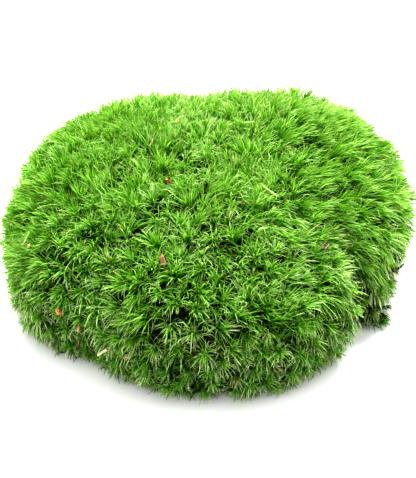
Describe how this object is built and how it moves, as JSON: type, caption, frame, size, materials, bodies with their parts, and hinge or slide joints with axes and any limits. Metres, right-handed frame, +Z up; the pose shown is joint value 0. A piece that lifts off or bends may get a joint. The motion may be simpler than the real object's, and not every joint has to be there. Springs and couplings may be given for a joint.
{
  "type": "moss clump",
  "caption": "Low rounded clump of living broom moss with dense tufted shoots, a brown humus pad cut off flat underneath, and bark, straw and leaf litter caught among the tufts.",
  "frame": {"origin": "on the ground under the middle of the clump's box", "axes": "+X to the right, +Y away from the front, +Z up"},
  "size_m": [0.2042, 0.1914, 0.0752],
  "materials": {
    "living_moss": "fine pointed living leaves, fresh green with pale tips, soft satin sheen",
    "humus": "crumbly dark brown humus and dead stems, fully matte",
    "bark": "dry flaky orange-brown bark, matte",
    "bud_scale": "papery red-brown scale, matte with a faint gloss",
    "twig_bark": "dark weathered twig bark, matte",
    "dry_leaf": "dry curled leaf, matte",
    "straw": "bleached straw, lengthwise fibres, slight gloss"
  },
  "bodies": {
    "root": {"moss_cushion": "living_moss", "humus_pad": "humus", "pine_bud_scale": "bud_scale", "bark_flake_left": "bark", "bark_flake_low": "bark", "bark_crumb": "bark", "brown_stalk": "twig_bark", "twig": "twig_bark", "leaf_scrap_front": "dry_leaf", "leaf_scrap_right": "dry_leaf", "dry_scale_left": "straw", "dry_scale_back": "straw", "straw_stalk": "straw", "straw_sliver": "straw", "straw_thread_left": "straw", "straw_thread_back": "straw"}
  },
  "joints": []
}
